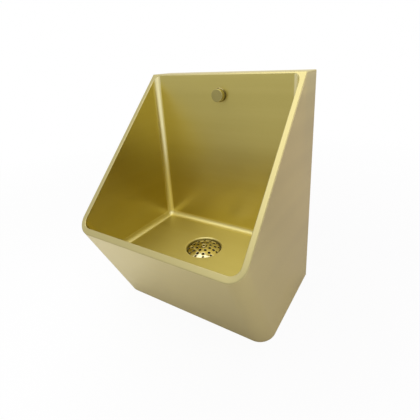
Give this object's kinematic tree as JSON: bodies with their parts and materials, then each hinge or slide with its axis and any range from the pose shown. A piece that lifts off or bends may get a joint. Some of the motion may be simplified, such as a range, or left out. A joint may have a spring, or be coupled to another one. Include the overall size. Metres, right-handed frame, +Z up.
{
  "type": "urinal",
  "caption": "Gold-coated sheet-steel urinal: slanted opening, leaning front apron, deep bowl, domed strainer in a floor recess, flush spreader, hidden trap and wall bracket.",
  "frame": {"origin": "middle of the base, at the height of the base edge and halfway between the wall face and the front lip", "axes": "+Z up, +Y towards the wall, +X to the right of someone facing the wall"},
  "size_m": [0.35, 0.32, 0.46],
  "materials": {
    "coated_sheet": "brushed stainless sheet with a pale gold coating",
    "coated_rim": "satin gold coating, smoother than the sheet",
    "polished_gold": "polished gold coating on stainless",
    "bare_steel": "zinc-plated sheet",
    "brass_fitting": "turned brass",
    "grey_plastic": "moulded polypropylene",
    "black_rubber": "matt rubber",
    "pad_bitumen": "embossed damping sheet"
  },
  "bodies": {
    "pan": {"outer_shell": "coated_sheet", "top_panel": "coated_sheet", "rim_frame": "coated_rim", "bowl": "coated_sheet", "sound_pads": "pad_bitumen", "hanging_rail": "bare_steel", "waste_body": "polished_gold", "waste_gasket": "black_rubber", "under_seal": "black_rubber", "slip_washer": "grey_plastic", "trap_cap": "grey_plastic", "trap_cap_seal": "black_rubber", "trap_body": "grey_plastic", "outlet_seal": "black_rubber", "outlet_pipe": "grey_plastic", "spreader_body": "polished_gold", "spreader_gasket": "black_rubber", "back_washer": "bare_steel", "back_nut": "brass_fitting", "inlet_seal": "black_rubber", "inlet_tail": "brass_fitting"},
    "trap_insert": {"dip_tube": "grey_plastic", "dip_tube_ring": "black_rubber"},
    "strainer": {"strainer_dome": "polished_gold"},
    "screw_washer": {"strainer_washer": "bare_steel"},
    "screw": {"strainer_screw": "polished_gold"},
    "outlet_union": {"outlet_nut": "grey_plastic"},
    "inlet_union": {"inlet_nut": "brass_fitting"},
    "spreader": {"spreader_cap": "polished_gold"},
    "bracket": {"wall_bracket": "bare_steel"}
  },
  "joints": [
    {"name": "insert_lift", "type": "slide", "parent": "pan", "child": "trap_insert", "axis": [0, 0, 1], "range_m": [0, 0.11]},
    {"name": "strainer_lift", "type": "slide", "parent": "trap_insert", "child": "strainer", "axis": [0, 0, 1], "range_m": [0, 0.05]},
    {"name": "screw_rise", "type": "slide", "parent": "strainer", "child": "screw_washer", "axis": [0, 0, 1], "range_m": [0, 0.008]},
    {"name": "screw_turn", "type": "hinge", "parent": "screw_washer", "child": "screw", "pos_m": [0, 0.00198, 0.117], "axis": [0, 0, 1], "range_deg": [0, 2884]},
    {"name": "outlet_nut_turn", "type": "hinge", "parent": "pan", "child": "outlet_union", "pos_m": [0, 0.062, 0.056], "axis": [0, 1, 0], "range_deg": [0, 720]},
    {"name": "inlet_nut_turn", "type": "hinge", "parent": "pan", "child": "inlet_union", "pos_m": [0, 0.122, 0.418], "axis": [0, 1, 0], "range_deg": [0, 720]},
    {"name": "spreader_aim", "type": "hinge", "parent": "pan", "child": "spreader", "pos_m": [0, 0.088, 0.418], "axis": [0, 1, 0], "range_deg": [-20, 20]},
    {"name": "bracket_unhook", "type": "slide", "parent": "pan", "child": "bracket", "axis": [0, 0, 1], "range_m": [-0.018, 0]}
  ],
  "couplings": [
    {"joint": "screw_turn", "follows": "screw_rise", "rad_per_m": 6283.2}
  ]
}
